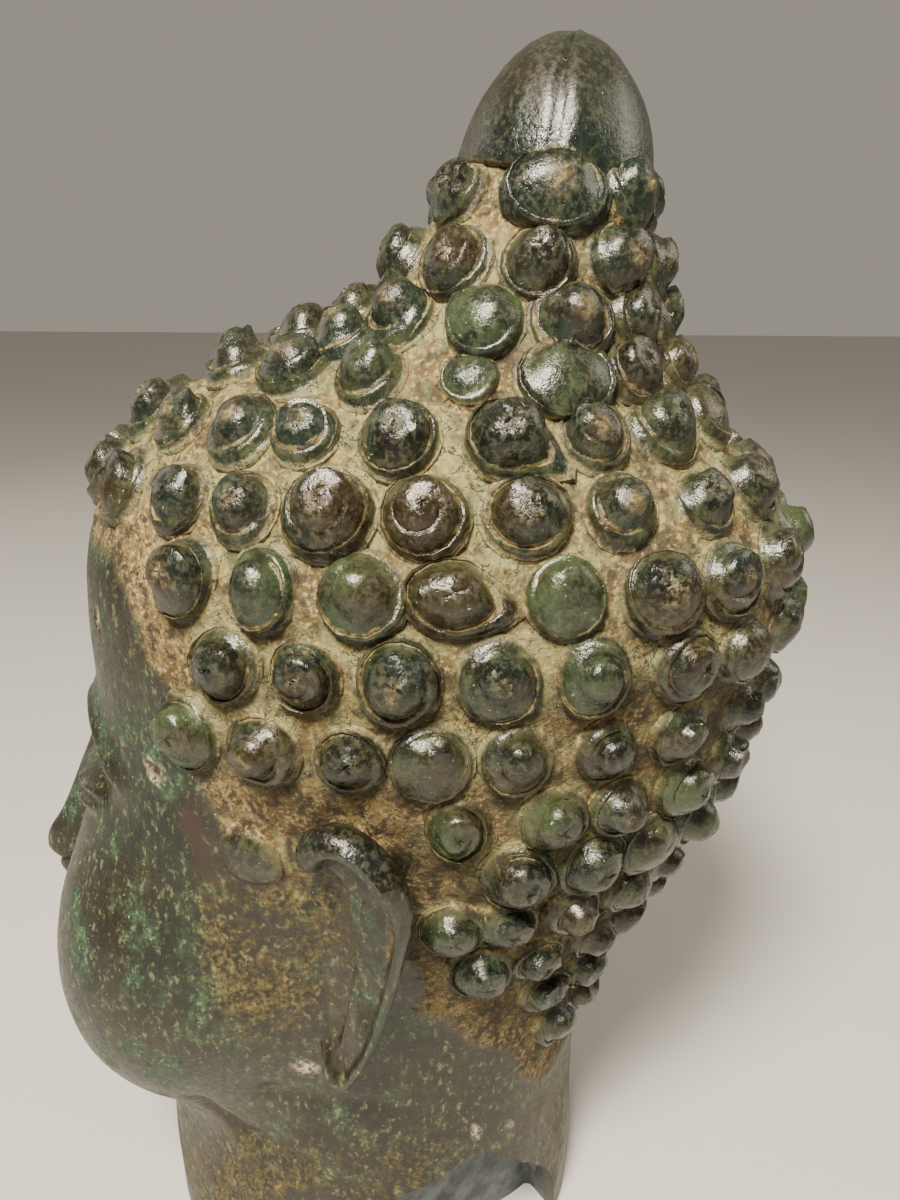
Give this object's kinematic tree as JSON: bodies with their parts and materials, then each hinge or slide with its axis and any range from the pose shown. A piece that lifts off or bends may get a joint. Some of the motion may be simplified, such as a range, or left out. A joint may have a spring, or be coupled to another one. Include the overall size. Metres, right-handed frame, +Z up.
{
  "type": "buddha head sculpture",
  "caption": "Cast bronze buddha head with rows of snail curls, topknot, lotus bud and long ears, cut flat below the neck, with a worn green and ochre patina.",
  "frame": {"origin": "middle of the neck on the underside, in the plane that the head stands on", "axes": "+Z up, -Y the way the face looks, +X the head's own left side"},
  "size_m": [0.1731, 0.2566, 0.4],
  "materials": {
    "bronze": "cast bronze with worn dark green patina and ochre earth in the hollows"
  },
  "bodies": {
    "root": {"buddha_head": "bronze"}
  },
  "joints": []
}
